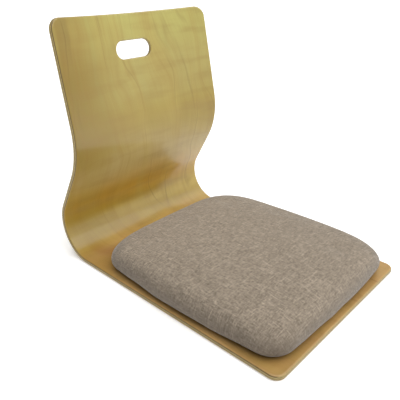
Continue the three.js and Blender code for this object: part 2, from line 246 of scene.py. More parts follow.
# Depths of the finishes' relief
fibre_depth = 0.00006
lacquer_wave_depth = 0.0004
edge_pore_depth = 0.00008
raw_pore_depth = 0.0001
weave_depth = 0.0004
foam_cell_depth = 0.0006
lining_relief_depth = 0.0002
scratch_depth = 0.00003

# Spacing of the points on the shell's faces, steps in round forms, and limits of the calculations
column_spacing = 0.016
seat_row_spacing = 0.040
back_row_spacing = 0.010
bend_row_turn = radians(4.5)
support_distance = 0.0009
normal_reach = support_distance / 10
point_clearance = 0.0045
weld_distance = 1e-7
sharp_angle = radians(30)
corner_steps = 12
fillet_steps = 8
slot_end_steps = 20
round_steps = 48
pad_corner_steps = 14
pad_side_steps = 22
pad_edge_steps = 12
pad_crown_steps = 16
cloth_side_steps = 60
cloth_corner_power = 7
least_slope = 1e-9

# Studio: a floor, two soft bright areas with the angles where each is full and ends, and a key light
floor_reach = 30.0
floor_glow = 0.30
room_brightness = 0.20
front_glow_direction = (0.30, -0.90, 0.20)
front_glow_spread = (radians(12), radians(52))
front_glow_brightness = 0.68
upper_glow_direction = (0.58, -0.25, 0.75)
upper_glow_spread = (radians(15), radians(52))
upper_glow_brightness = 0.6
key_direction = (0.06, -0.26, 0.91)
key_strength = 2.5
key_spread = radians(80)

# Camera, fitted to the photograph's outlines
image_size = 400
principal_point = (196.77, 171.36)
focal_length_pixels = 484.15
camera_x = -0.62694
camera_before_seat = 0.27508
camera_height = 0.52325
camera_place = Vector((camera_x, seat_front_y - camera_before_seat, camera_height))
camera_azimuth = radians(-45.985)
camera_elevation = radians(21.933)
camera_roll = radians(-1.240)


# Small helpers for meshes

def smoothstep(value, low, high):
    share = np.clip((value - low) / (high - low), 0, 1)
    return share * share * (3 - 2 * share)


def add_mesh(name, points, faces):
    mesh = bpy.data.meshes.new(name)
    mesh.from_pydata([tuple(map(float, point)) for point in points], [], faces)
    mesh.shade_smooth()
    mesh.set_sharp_from_angle(angle=sharp_angle)
    piece = bpy.data.objects.new(name, mesh)
    bpy.context.scene.collection.objects.link(piece)
    return piece


def vertex_places(piece):
    places = np.zeros(len(piece.data.vertices) * 3)
    piece.data.vertices.foreach_get("co", places)
    return places.reshape(-1, 3)


def set_uv(piece, name, coordinates):
    """Give every vertex its own pair of texture coordinates, in metres."""
    layer = piece.data.uv_layers.new(name=name)
    corners = np.zeros(len(piece.data.loops), int)
    piece.data.loops.foreach_get("vertex_index", corners)
    layer.data.foreach_set("uv", np.asarray(coordinates, float)[corners].ravel())


def set_attribute(piece, name, values):
    attribute = piece.data.attributes.new(name, "FLOAT", "POINT")
    attribute.data.foreach_set("value", np.asarray(values, float).ravel())


def dress(piece, material, node):
    """Finish a piece: its material, its body and the CAD node that it stands for."""
    piece.data.materials.clear()
    piece.data.materials.append(material)
    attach(piece, "root")
    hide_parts(node)


# Side view and surface of the shell

back_angle = pi / 2 - back_lean
lumbar_turn = rear_bend_turn - back_angle
stretches = [
    (seat_flat_length, 0),
    (rear_bend_radius * rear_bend_turn, rear_bend_turn),
    (waist_length, 0),
    (lumbar_radius * lumbar_turn, -lumbar_turn),
    (upper_back_length, 0),
]
stretch_ends = np.cumsum([length for length, _ in stretches])
back_start, waist_start, lumbar_start, upper_back_start, shell_length = stretch_ends


def side_view(distance):
    """Y, z and heading of the rear surface at each distance."""
    y = np.full_like(distance, seat_front_y)
    z = np.zeros_like(distance)
    heading = np.zeros_like(distance)
    start = 0
    for length, turn in stretches:
        run = np.clip(distance - start, 0, length)
        bend = run * turn / length
        if turn:
            radius = length / turn
            y += radius * (np.sin(heading + bend) - np.sin(heading))
            z -= radius * (np.cos(heading + bend) - np.cos(heading))
        else:
            y += run * np.cos(heading)
            z += run * np.sin(heading)
        heading += bend
        start += length
    return y, z, heading


def rear_surface(x, distance):
    """Points of the rear surface, hollowed sideways from the waist upwards."""
    y, z, heading = side_view(distance)
    across = 2 * x / shell_width
    depth = back_hollow_depth * smoothstep(distance, waist_start, upper_back_start) * (1 - across ** 2)
    return np.stack([x, y + depth * np.sin(heading), z - depth * np.cos(heading)], axis=1)


def outward_normal(x, distance):
    """Unit directions out of the sitter's side, from neighbouring points of the surface."""
    across = rear_surface(x + normal_reach, distance) - rear_surface(x - normal_reach, distance)
    below = rear_surface(x, np.maximum(distance - normal_reach, 0))
    above = rear_surface(x, np.minimum(distance + normal_reach, shell_length))
    normal = np.cross(across, above - below)
    return normal / np.linalg.norm(normal, axis=1, keepdims=True)


def board_points(places, height):
    x, distance = places[:, 0], places[:, 1]
    return rear_surface(x, distance) + height * outward_normal(x, distance)


# Outlines on the board, as places (x, distance), for the inset that the rounded edge has at a height

def edge_inset(height):
    depth = min(height, board_thickness - height)
    below = max(edge_round_radius - depth, 0)
    return edge_round_radius - (edge_round_radius ** 2 - below ** 2) ** 0.5


def steps_between(start, end, spacing):
    """Points after start and before end, evenly spaced and no further apart than the spacing."""
    count = max(int(ceil(abs(end - start) / spacing)), 1)
    return np.linspace(start, end, count + 1)[1:-1]


def row_distances():
    """Distances of the rows of points between the front corners and the top corners."""
    rear_bend_spacing = rear_bend_radius * bend_row_turn
    lumbar_spacing = lumbar_radius * bend_row_turn / 2
    spacings = [seat_row_spacing, rear_bend_spacing, back_row_spacing, lumbar_spacing, back_row_spacing]
    starts = [front_corner_radius, back_start, waist_start, lumbar_start, upper_back_start]
    ends = [*starts[1:], shell_length - top_corner_radius]
    rows = []
    for start, end, spacing in zip(starts, ends, spacings):
        rows += [*steps_between(start, end, spacing), end]
    return np.array(rows[:-1])


rows = row_distances()


def board_outline(inset):
    half = shell_width / 2
    corners = [
        (half - front_corner_radius, front_corner_radius, front_corner_radius, -pi / 2),
        (half - top_corner_radius, shell_length - top_corner_radius, top_corner_radius, 0),
        (top_corner_radius - half, shell_length - top_corner_radius, top_corner_radius, pi / 2),
        (front_corner_radius - half, front_corner_radius, front_corner_radius, pi),
    ]
    columns = steps_between(-half + top_corner_radius, half - top_corner_radius, column_spacing)
    sides = [
        [(half - inset, row) for row in rows],
        [(column, shell_length - inset) for column in columns[::-1]],
        [(inset - half, row) for row in rows[::-1]],
        [(column, inset) for column in columns],
    ]
    places = []
    for (x, distance, radius, start), side in zip(corners, sides):
        for angle in np.linspace(start, start + pi / 2, corner_steps + 1):
            places.append((x + (radius - inset) * cos(angle), distance + (radius - inset) * sin(angle)))
        places += side
    return np.array(places)


def slot_outline(inset):
    radius = slot_height / 2 + inset
    half_straight = (slot_length - slot_height) / 2
    middle = shell_length - slot_below_top
    places = []
    for end, start in ((half_straight, -pi / 2), (-half_straight, pi / 2)):
        for angle in np.linspace(start, start + pi, slot_end_steps + 1):
            places.append((end + radius * cos(angle), middle + radius * sin(angle)))
    return np.array(places)


# Places of the screws and of the pad's middle, from the frame

screw_low, screw_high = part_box("seat_screw_front_right")
screw_x = abs(screw_low.x + screw_high.x) / 2
front_screw_y = (screw_low.y + screw_high.y) / 2
rear_screw_low, rear_screw_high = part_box("seat_screw_rear_right")
rear_screw_y = (rear_screw_low.y + rear_screw_high.y) / 2
pad_middle_y = (front_screw_y + rear_screw_y) / 2
screw_places = {
    "front_right": (-screw_x, front_screw_y),
    "front_left": (screw_x, front_screw_y),
    "rear_right": (-screw_x, rear_screw_y),
    "rear_left": (screw_x, rear_screw_y),
}


def screw_hole_radius(height):
    head = screw_head_diameter / 2 + hardware_clearance
    shank = screw_diameter / 2 + hardware_clearance
    return min(head, max(shank, head - (height - screw_head_sunk)))


def circle(x, distance, radius):
    angles = np.linspace(0, 2 * pi, round_steps, endpoint=False)
    return np.stack([x + radius * np.cos(angles), distance + radius * np.sin(angles)], axis=1)


def edge_loops(height, support=0.0):
    """Outlines of the board and its holes at a height, or those a support's distance inside the wood."""
    inset = edge_inset(height)
    radius = screw_hole_radius(height) + support
    holes = [circle(x, y - seat_front_y, radius) for x, y in screw_places.values()]
    return [board_outline(inset + support), slot_outline(inset + support), *holes]


# Triangles of the board's faces: one flat pattern of loops and grid points for both faces of every ply

def distance_to_loop(places, loop):
    """Least distance from each place to a closed loop."""
    run = np.roll(loop, -1, axis=0) - loop
    share = ((places[:, None] - loop) * run).sum(2) / (run ** 2).sum(1)
    nearest = loop + np.clip(share, 0, 1)[..., None] * run
    return np.linalg.norm(places[:, None] - nearest, axis=2).min(1)


def inside_loop(places, loop):
    x, y = places[:, :1], places[:, 1:]
    x1, y1 = loop[:, 0], loop[:, 1]
    x2, y2 = np.roll(x1, -1), np.roll(y1, -1)
    level = np.where(y1 == y2, 1, y2 - y1)
    crossed = ((y1 > y) != (y2 > y)) & (x < x1 + (y - y1) * (x2 - x1) / level)
    return crossed.sum(1) % 2 == 1


def face_pattern():
    """Grid places between the loops, and the triangles of the whole face."""
    height = board_thickness
    loops = edge_loops(height)
    supports = edge_loops(height, support_distance)
    half = shell_width / 2
    columns = np.array([-half, *steps_between(-half, half, column_spacing), half])
    grid = np.array([(column, row) for row in rows for column in columns])
    clear = np.min([distance_to_loop(grid, loop) for loop in loops], axis=0) > point_clearance
    outside_holes = ~np.any([inside_loop(grid, loop) for loop in loops[1:]], axis=0)
    grid = grid[clear & outside_holes]
    places = np.concatenate([*loops, *supports, grid])
    edges = []
    start = 0
    for loop in loops:
        count = len(loop)
        edges += [(start + i, start + (i + 1) % count) for i in range(count)]
        start += count
    found = delaunay_2d_cdt([Vector(place) for place in places], edges, [], 1, weld_distance, True)
    source = [inputs[0] for inputs in found[3]]
    triangles = np.array([[source[corner] for corner in face] for face in found[2]])
    middles = places[triangles].mean(axis=1)
    in_hole = np.any([inside_loop(middles, loop) for loop in loops[1:]], axis=0)
    return grid, triangles[~in_hole]


grid_places, face_triangles = face_pattern()


def ply_heights(low, high):
    """Heights of the loops that the board's rounded edges have between a ply's own two faces."""
    rises = edge_round_radius * (1 - np.sin(np.linspace(0, pi / 2, fillet_steps + 1)))
    candidates = sorted({*rises, *(board_thickness - rises)})
    least = glue_film / 2
    return [height for height in candidates if low + least < height < high - least]


def edge_faces(loops, levels):
    """Faces of a ply's edge, between each loop and the same loop on the next level."""
    starts = np.cumsum([0, *map(len, loops)])
    faces = []
    for start, end in zip(starts, starts[1:]):
        count = end - start
        for below, above in zip(levels, levels[1:]):
            for i in range(count):
                a, b = start + i, start + (i + 1) % count
                faces.append((below + a, below + b, above + b, above + a))
    return faces


def make_ply(name, low, high, grain_along):
    """One bent ply: two faces and the edge between them, with texture places and its share of end grain."""
    faces = []
    points = []
    uv = []
    for height in (low, high):
        places = np.concatenate([*edge_loops(height), *edge_loops(height, support_distance), grid_places])
        start = sum(map(len, points))
        triangles = face_triangles + start
        faces += (triangles if height == high else triangles[:, ::-1]).tolist()
        points.append(board_points(places, height))
        uv.append(places)
    levels = [0]
    for height in ply_heights(low, high):
        levels.append(sum(map(len, points)))
        places = np.concatenate(edge_loops(height))
        points.append(board_points(places, height))
        uv.append(places)
    levels.append(len(points[0]))
    faces += edge_faces(edge_loops(high), levels)
    piece = add_mesh(name, np.concatenate(points), faces)
    places = np.concatenate(uv)
    set_uv(piece, "board", places)
    near_ends = np.minimum(places[:, 1], shell_length - places[:, 1])
    near_sides = shell_width / 2 - np.abs(places[:, 0])
    at_end = smoothstep(near_sides - near_ends, -edge_round_radius, edge_round_radius)
    set_attribute(piece, "end_grain", at_end if grain_along else 1 - at_end)
    return piece


# Node trees, written as short expressions

class Graph:
    """A material's node tree, with short methods for the nodes that the finishes use."""

    def __init__(self, name):
        self.material = bpy.data.materials.new(name)
        self.material.use_nodes = True
        self.nodes = self.material.node_tree.nodes
        self.shader = self.nodes["Principled BSDF"]

    def connect(self, value, socket):
        if isinstance(value, bpy.types.NodeSocket):
            self.material.node_tree.links.new(value, socket)
        else:
            socket.default_value = value

    def uv(self, name):
        node = self.nodes.new("ShaderNodeUVMap")
        node.uv_map = name
        return node.outputs["UV"]

    def attribute(self, name):
        node = self.nodes.new("ShaderNodeAttribute")
        node.attribute_name = name
        return node.outputs["Fac"]

    def place(self):
        return self.nodes.new("ShaderNodeTexCoord").outputs["Object"]

    def parts(self, vector):
        node = self.nodes.new("ShaderNodeSeparateXYZ")
        self.connect(vector, node.inputs[0])
        return node.outputs

    def vector(self, x, y, z):
        node = self.nodes.new("ShaderNodeCombineXYZ")
        for socket, value in zip(node.inputs, (x, y, z)):
            self.connect(value, socket)
        return node.outputs[0]

    def math(self, operation, first, second=0.0):
        node = self.nodes.new("ShaderNodeMath")
        node.operation = operation
        for socket, value in zip(node.inputs, (first, second)):
            self.connect(value, socket)
        return node.outputs[0]

    def add(self, first, second):
        return self.math("ADD", first, second)

    def times(self, first, second):
        return self.math("MULTIPLY", first, second)

    def waves(self, x, y, rate):
        """Sine waves along x times sine waves along y, with a rate in radians per metre."""
        return self.times(self.math("SINE", self.times(x, rate)), self.math("SINE", self.times(y, rate)))

    def ease(self, value, low, high, from_value=0.0, to_value=1.0):
        """A smooth change from one value to another, while the given value goes from low to high."""
        node = self.nodes.new("ShaderNodeMapRange")
        node.interpolation_type = "SMOOTHSTEP"
        for socket, entry in zip(node.inputs, (value, low, high, from_value, to_value)):
            self.connect(entry, socket)
        return node.outputs[0]

    def noise(self, vector, detail=2.0, roughness=0.5, scale=1.0):
        node = self.nodes.new("ShaderNodeTexNoise")
        entries = {"Vector": vector, "Scale": scale, "Detail": detail, "Roughness": roughness}
        for name, value in entries.items():
            self.connect(value, node.inputs[name])
        return node.outputs["Fac"]

    def marks(self, x, y, kind, seed=0.0, detail=2.0, roughness=0.5):
        """Noise drawn out into marks: a kind is so many per metre of x and of y, and its own seed."""
        x_rate, y_rate, own_seed = kind
        place = self.vector(self.times(x, x_rate), self.times(y, y_rate), self.add(seed, own_seed))
        return self.noise(place, detail, roughness)

    def mix(self, factor, first, second):
        node = self.nodes.new("ShaderNodeMix")
        node.data_type = "RGBA"
        colours = [socket for socket in node.inputs if socket.type == "RGBA"]
        self.connect(factor, node.inputs["Factor"])
        for socket, value in zip(colours, (first, second)):
            self.connect(value, socket)
        return next(socket for socket in node.outputs if socket.type == "RGBA")

    def tinted(self, base, field, low, high, share, colour):
        """The base colour with a share of another one, which comes in as the field goes from low to high."""
        return self.mix(self.ease(field, low, high, 0.0, share), base, colour)

    def bump(self, height, depth):
        node = self.nodes.new("ShaderNodeBump")
        node.inputs["Distance"].default_value = depth
        self.connect(height, node.inputs["Height"])
        return node.outputs["Normal"]

    def finish(self, **settings):
        """Set the shader's sockets by their names, written with underscores."""
        for name, value in settings.items():
            self.connect(value, self.shader.inputs[name.replace("_", " ")])
        return self.material


def srgb(red, green, blue):
    """A colour given as 8-bit values, as the linear values that a shader takes."""
    shares = np.array([red, green, blue]) / 255
    linear = np.where(shares <= 0.04045, shares / 12.92, ((shares + 0.055) / 1.055) ** 2.4)
    return (*linear.tolist(), 1.0)


# Wood

def across_the_grain(graph, across, along, seed):
    """Places across the grain, whose lines lean and wander as veneer's do."""
    slow = graph.marks(across, along, slow_bend_marks, seed, detail=1.0)
    knees = graph.marks(across, along, knee_marks, seed, detail=1.0)
    wander = graph.add(graph.times(slow, slow_bend_reach), graph.times(knees, knee_reach))
    leaning = graph.add(across, graph.times(along, grain_lean))
    return graph.add(leaning, wander)


def vein(graph, across_grain, along, kind, seed, width_share, depth_share):
    """Share of a thin wavy line, broken here and there, where the noise is close to its middle level."""
    field = graph.marks(across_grain, along, kind, seed, detail=1.5, roughness=0.4)
    off_line = graph.math("ABSOLUTE", graph.math("SUBTRACT", field, 0.5))
    line = graph.ease(off_line, 0.0, width_share, 1.0, 0.0)
    presence = graph.marks(across_grain, along, vein_break_marks, seed + kind[-1], detail=1.0)
    return graph.times(graph.times(line, graph.ease(presence, 0.42, 0.6)), depth_share)


def with_painted_lighting(graph, base, positions, region):
    """The base colour with a region's tint of painted lighting, as far as the product of the region's ramps
    says.
    """
    level = 1.0
    for way, start, end, before, after in painted_lighting_ramps[region]:
        level = graph.times(level, graph.ease(positions[way], start, end, before, after))
    return graph.mix(level, base, srgb(*painted_lighting_tints[region]))


def veneer_colour_and_painted_light(graph, across, along, broad_streaks):
    """The wood's tint along the shell, partly painted light and shade, then the regions' painted light and
    shade, with the broad streaks between the two.
    """
    along_share = graph.times(along, 1 / shell_length)
    across_share = graph.times(across, 2 / shell_width)
    outwards_share = graph.math("ABSOLUTE", across_share)
    positions = {"along": along_share, "across": across_share, "outwards": outwards_share}
    base = srgb(*front_tint)
    # Tints along the shell: partly the veneer's own colour, partly painted light and shade that follow the
    # shell's bends.
    for (start, end), tint in zip(tint_and_shading_fade_shares, along_tints_with_painted_shading):
        base = graph.tinted(base, along_share, start, end, 1.0, srgb(*tint))
    # Painted highlight in the middle of the bend, and painted light where the bend starts beside the pad's
    # rear edge.
    for region in ("painted highlight at mid bend", "painted light where the bend starts"):
        base = with_painted_lighting(graph, base, positions, region)
    base = graph.tinted(base, broad_streaks, 0.3, 0.7, 0.40, srgb(180, 158, 82))
    # Painted shade on the back's right, painted light on the seat's sides where the pad shades them, and a
    # painted highlight on the seat's front.
    for region in ("painted shade on the back's right", "painted light on the seat's sides", "painted highlight on the seat's front"):
        base = with_painted_lighting(graph, base, positions, region)
    return base


def lacquered_veneer(name, seed):
    """Pale veneer under clear satin lacquer, with streaks, veins and fibres that follow the grain, and
    painted light and shade along the shell.
    """
    graph = Graph(name)
    across, along, _ = graph.parts(graph.uv("board"))
    across_grain = across_the_grain(graph, across, along, seed)

    def streaks(kind, detail):
        return graph.marks(across_grain, along, kind, seed, detail, roughness=0.55)

    medium = streaks(medium_streak_marks, 4.0)
    fibres = streaks(fibre_marks, 3.0)
    patches = graph.marks(across, along, patch_marks, seed)
    mottle = graph.marks(across, along, mottle_marks, seed)
    waviness = graph.marks(across, along, lacquer_wave_marks, seed, detail=1.0)
    wide = vein(graph, across_grain, along, wide_vein_marks, seed, width_share=0.009, depth_share=0.32)
    close = vein(graph, across_grain, along, close_vein_marks, seed, width_share=0.008, depth_share=0.24)
    base = veneer_colour_and_painted_light(graph, across, along, streaks(broad_streak_marks, 2.0))
    base = graph.tinted(base, patches, 0.4, 0.75, 0.26, srgb(150, 118, 54))
    base = graph.tinted(base, medium, 0.4, 0.75, 0.26, srgb(146, 112, 50))
    base = graph.tinted(base, mottle, 0.45, 0.70, 0.26, srgb(144, 116, 58))
    base = graph.mix(graph.add(wide, close), base, srgb(112, 82, 40))
    base = graph.tinted(base, fibres, 0.35, 0.8, 0.14, srgb(140, 108, 52))
    return graph.finish(
        Base_Color=base,
        Roughness=graph.ease(fibres, 0.3, 0.8, 0.36, 0.48),
        Specular_IOR_Level=0.1,
        Normal=graph.bump(fibres, fibre_depth),
        Coat_Weight=0.85,
        Coat_Roughness=0.22,
        Coat_IOR=1.5,
        Coat_Normal=graph.bump(waviness, lacquer_wave_depth),
    )


def lacquered_edge(name, long_grain, end_grain, seed):
    """Edge of a core ply: streaks of long grain, or darker speckled end grain."""
    graph = Graph(name)
    across, along, _ = graph.parts(graph.uv("board"))
    stripes = graph.marks(across, along, edge_stripe_marks, seed, detail=3.0)
    pores = graph.noise(graph.place(), scale=edge_pores_per_metre)
    light = graph.tinted(long_grain, stripes, 0.3, 0.7, 0.3, end_grain)
    dark = graph.tinted(end_grain, pores, 0.45, 0.62, 0.55, srgb(70, 50, 26))
    return graph.finish(
        Base_Color=graph.mix(graph.attribute("end_grain"), light, dark),
        Roughness=graph.ease(pores, 0.4, 0.7, 0.42, 0.6),
        Normal=graph.bump(pores, edge_pore_depth),
        Specular_IOR_Level=0.2,
        Coat_Weight=0.3,
        Coat_Roughness=0.3,
        Coat_IOR=1.5,
    )


def raw_plywood(name):
    graph = Graph(name)
    x, y, z = graph.parts(graph.place())
    grain = graph.marks(x, y, raw_grain_marks, z, detail=4.0)
    pores = graph.marks(x, y, raw_pore_marks, z)
    base = graph.tinted(srgb(201, 171, 116), grain, 0.3, 0.7, 1.0, srgb(172, 138, 86))
    return graph.finish(
        Base_Color=graph.tinted(base, pores, 0.6, 0.75, 0.4, srgb(118, 88, 50)),
        Roughness=graph.ease(grain, 0.3, 0.7, 0.68, 0.8),
        Normal=graph.bump(pores, raw_pore_depth),
    )


# Fabric, foam and lining

def linen(name):
    """Grey-beige linen look: crossed slub threads whose shade wanders, with painted shade low on the pad's
    sides.
    """
    graph = Graph(name)
    u, v, _ = graph.parts(graph.uv("cloth"))
    height_above_floor = graph.parts(graph.place())[2]

    def threads(across, along, seed):
        number = graph.math("FLOOR", graph.times(across, 1 / thread_pitch))
        shade = graph.marks(number, along, thread_shade_marks, seed, detail=1.0, roughness=0.6)
        slub = graph.marks(number, along, slub_marks, seed, detail=1.0)
        return graph.add(shade, graph.ease(slub, 0.64, 0.72, 0.0, 0.34))

    thread = graph.times(graph.add(threads(u, v, warp_seed), threads(v, u, weft_seed)), 0.5)
    melange = graph.marks(u, v, melange_marks, detail=3.0)
    crowns = graph.math("ABSOLUTE", graph.waves(u, v, pi / thread_pitch))
    crown_relief = graph.times(crowns, 1 - thread_relief_share)
    relief = graph.add(graph.times(thread, thread_relief_share), crown_relief)
    base = graph.tinted(srgb(85, 76, 64), thread, 0.13, 0.96, 1.0, srgb(188, 173, 154))
    base = graph.tinted(base, melange, 0.35, 0.7, 0.05, srgb(146, 130, 116))
    # Painted shade: the cover darkens low on the pad's sides.
    shade = srgb(92, 82, 71)
    base = graph.tinted(base, height_above_floor, shade_top_height, shade_full_height, 0.55, shade)
    return graph.finish(
        Base_Color=base,
        Roughness=0.92,
        Specular_IOR_Level=0.2,
        Sheen_Weight=0.4,
        Sheen_Roughness=0.35,
        Normal=graph.bump(relief, weave_depth),
    )


def foam_rubber(name):
    graph = Graph(name)
    cells = graph.noise(graph.place(), detail=3.0, scale=foam_cells_per_metre)
    tone = graph.noise(graph.place(), scale=foam_patches_per_metre)
    base = graph.tinted(srgb(236, 226, 198), tone, 0.3, 0.7, 1.0, srgb(222, 208, 172))
    return graph.finish(
        Base_Color=graph.tinted(base, cells, 0.55, 0.75, 0.4, srgb(180, 164, 128)),
        Roughness=0.95,
        Normal=graph.bump(cells, foam_cell_depth),
    )


def non_woven(name):
    graph = Graph(name)
    x, y, _ = graph.parts(graph.place())
    fibres = graph.marks(x, y, lining_fibre_marks, detail=4.0)
    dots = graph.waves(x, y, lining_dot_rate)
    return graph.finish(
        Base_Color=graph.tinted(srgb(30, 30, 32), fibres, 0.35, 0.7, 1.0, srgb(58, 58, 60)),
        Roughness=0.9,
        Normal=graph.bump(graph.add(fibres, graph.ease(dots, 0.4, 0.8)), lining_relief_depth),
    )


# Metal

def zinc_plated(name):
    graph = Graph(name)
    spangle = graph.noise(graph.place(), scale=spangles_per_metre)
    scratches = graph.noise(graph.place(), detail=5.0, scale=scratches_per_metre)
    return graph.finish(
        Base_Color=graph.tinted(srgb(196, 199, 203), spangle, 0.35, 0.65, 1.0, srgb(170, 175, 182)),
        Metallic=1.0,
        Roughness=graph.ease(scratches, 0.3, 0.7, 0.24, 0.42),
        Normal=graph.bump(scratches, scratch_depth),
    )


materials = {
    "face_front": lacquered_veneer("face_veneer_front", seed=1.0),
    "face_rear": lacquered_veneer("face_veneer_rear", seed=57.0),
    "core_ply_light": lacquered_edge("core_ply_light", srgb(190, 168, 108), srgb(140, 122, 76), seed=3.0),
    "core_ply_dark": lacquered_edge("core_ply_dark", srgb(166, 146, 92), srgb(112, 96, 62), seed=5.0),
    "linen_fabric": linen("linen_fabric"),
    "foam": foam_rubber("foam"),
    "plain_plywood": raw_plywood("plain_plywood"),
    "under_lining": non_woven("under_lining"),
    "zinc_plated_steel": zinc_plated("zinc_plated_steel"),
}


# Shell

def build_shell():
    """From the sitter's side to the rear: a face veneer, five cores crossed in turn, and a face veneer."""
    core_thickness = (board_thickness - 2 * face_veneer_thickness) / core_ply_count
    thicknesses = [face_veneer_thickness, *[core_thickness] * core_ply_count, face_veneer_thickness]
    top = board_thickness
    for number, thickness in enumerate(thicknesses, start=1):
        is_front = number == 1
        is_rear = number == len(thicknesses)
        high = top if is_front else top - glue_film / 2
        top -= thickness
        low = 0.0 if is_rear else top + glue_film / 2
        grain_along = number % 2 == 1
        if is_front or is_rear:
            side = "front" if is_front else "rear"
            piece = make_ply(f"{side}_veneer", low, high, grain_along)
            dress(piece, materials[f"face_{side}"], f"shell_ply_{number}_{side}_face")
        else:
            slot = "core_ply_light" if grain_along else "core_ply_dark"
            piece = make_ply(f"core_veneer_{number}", low, high, grain_along)
            dress(piece, materials[slot], f"shell_ply_{number}_core")


# Pad form, as the CAD has it but finer

pad_bottom = board_thickness + layer_clearance
pad_half_width = pad_corner_width / 2
pad_half_depth = pad_corner_depth / 2
shoulder_rise = pad_shoulder_height - pad_widest_height
crown_slope = 2 * pad_crown / (pad_half_width - pad_shoulder_reach)
shoulder_angle = atan2(shoulder_rise, pad_shoulder_reach * crown_slope)


def pad_ring(inset, z, corner_radius, share=1.0, wave=0.0):
    """One level line of the pad: a rounded rectangle drawn in evenly, and bowed out between its corners."""
    radius = max(corner_radius, layer_clearance)
    x, y = pad_half_width - inset - radius, pad_half_depth - inset - radius
    corners = [(x, y), (-x, y), (-x, -y), (x, -y)]
    flat = []
    for quarter, (corner_x, corner_y) in enumerate(corners):
        start = quarter * pi / 2
        for angle in np.linspace(start, start + pi / 2, pad_corner_steps + 1):
            flat.append((corner_x + radius * cos(angle), corner_y + radius * sin(angle)))
        next_x, next_y = corners[(quarter + 1) % 4]
        end = start + pi / 2
        for part in np.linspace(0, 1, pad_side_steps + 1)[1:-1]:
            flat.append((
                corner_x + part * (next_x - corner_x) + radius * cos(end),
                corner_y + part * (next_y - corner_y) + radius * sin(end),
            ))
    x, y = np.array(flat).T
    side_bow = 1 + pad_side_bow / pad_half_width * (1 - (y / pad_half_depth) ** 2)
    end_bow = 1 + pad_end_bow / pad_half_depth * (1 - (x / pad_half_width) ** 2)
    x, y = x * side_bow, y * end_bow
    if wave:
        turn = np.arctan2(y / pad_half_depth, x / pad_half_width)
        pull = sum(strength * np.sin(count * turn + start) for count, strength, start in base_waves) / 2
        drawn = 1 - wave * pull / np.hypot(x, y)
        x, y = x * drawn, y * drawn
    return np.stack([share * x, pad_middle_y + share * y, np.full_like(x, z)], axis=1)


def pad_rings(depth, crown, wave=0.0):
    """Level lines from the base edge over the widest level to the crown, a depth below the outer face."""
    rings = []

    def side(reach, rise, last_radius, angle):
        normal_x, normal_z = cos(angle) / reach, sin(angle) / rise
        scale = depth / hypot(normal_x, normal_z)
        drawn_in_share = 1 - cos(angle)
        inset = reach * drawn_in_share + normal_x * scale
        z = pad_bottom + pad_widest_height + rise * sin(angle) - normal_z * scale
        radius = pad_corner_radius + (last_radius - pad_corner_radius) * drawn_in_share - normal_x * scale
        rings.append(pad_ring(inset, z, radius, wave=wave * max(-sin(angle), 0)))
        return inset, z, radius

    for angle in np.linspace(-pi / 2, 0, pad_edge_steps + 1)[:-1]:
        side(pad_side_draw_in, pad_widest_height, pad_corner_radius - pad_side_draw_in, angle)
    for angle in np.linspace(0, shoulder_angle, pad_edge_steps + 1):
        inset, z, radius = side(pad_shoulder_reach, shoulder_rise, pad_shoulder_corner_radius, angle)
    for share in np.linspace(1, 0, pad_crown_steps + 1)[1:-1]:
        rings.append(pad_ring(inset, z + crown * (1 - share ** 2), radius, share))
    peak = np.array([[0, pad_middle_y, z + crown]])
    return rings, peak


def closed_stack(name, rings, bottom, peak):
    """A closed mesh of rings, with a fan to a point below and to a point on top."""
    around = len(rings[0])
    faces = []
    for level in range(len(rings) - 1):
        for i in range(around):
            a, b = level * around + i, level * around + (i + 1) % around
            faces.append((a, b, b + around, a + around))
    last = (len(rings) - 1) * around
    low_point = len(rings) * around
    for i in range(around):
        faces.append(((i + 1) % around, i, low_point))
        faces.append((last + i, last + (i + 1) % around, low_point + 1))
    return add_mesh(name, np.concatenate([*rings, bottom, peak]), faces)


def pad_solid(name, depth, crown, wave=0.0):
    rings, peak = pad_rings(depth, crown, wave)
    bottom = np.array([[0, pad_middle_y, rings[0][0, 2]]])
    return closed_stack(name, rings, bottom, peak)


def apply_modifiers(piece):
    evaluated = piece.evaluated_get(bpy.context.evaluated_depsgraph_get())
    mesh = bpy.data.meshes.new_from_object(evaluated)
    piece.modifiers.clear()
    piece.data = mesh


def swell(piece):
    """Blow the cover up a little as cloth held along its flat underside, and limit how far points move.

    The foam below lets hardly a point sink, so rise and slide have limits of their own.
    """
    rest = vertex_places(piece)
    outward = np.array([point.normal for point in piece.data.vertices])
    held = piece.vertex_groups.new(name="held")
    held.add(np.flatnonzero(rest[:, 2] < rest[:, 2].min() + voxel_size / 4).tolist(), 1.0, "ADD")
    cloth = piece.modifiers.new("cloth", "CLOTH")
    cloth.settings.quality = cloth_quality
    cloth.settings.mass = cloth_mass
    cloth.settings.tension_stiffness = cloth_stiffness
    cloth.settings.compression_stiffness = cloth_stiffness
    cloth.settings.shear_stiffness = cloth_stiffness / 2
    cloth.settings.bending_stiffness = cloth_stiffness / 4
    cloth.settings.use_pressure = True
    cloth.settings.uniform_pressure_force = cloth_pressure
    cloth.settings.vertex_group_mass = "held"
    cloth.settings.effector_weights.gravity = 0
    cloth.point_cache.frame_start = 1
    cloth.point_cache.frame_end = cloth_frames
    for number in range(1, cloth_frames + 1):
        bpy.context.scene.frame_set(number)
    apply_modifiers(piece)
    moved = vertex_places(piece) - rest
    rise = np.sum(moved * outward, axis=1, keepdims=True)
    slide = moved - rise * outward
    slide_length = np.maximum(np.linalg.norm(slide, axis=1, keepdims=True), slide_limit)
    limited = rest + np.clip(rise, -sink_limit, swell_limit) * outward + slide * slide_limit / slide_length
    limited[:, 2] = np.maximum(limited[:, 2], rest[:, 2].min())
    piece.data.vertices.foreach_set("co", limited.ravel())
    bpy.context.scene.frame_set(1)


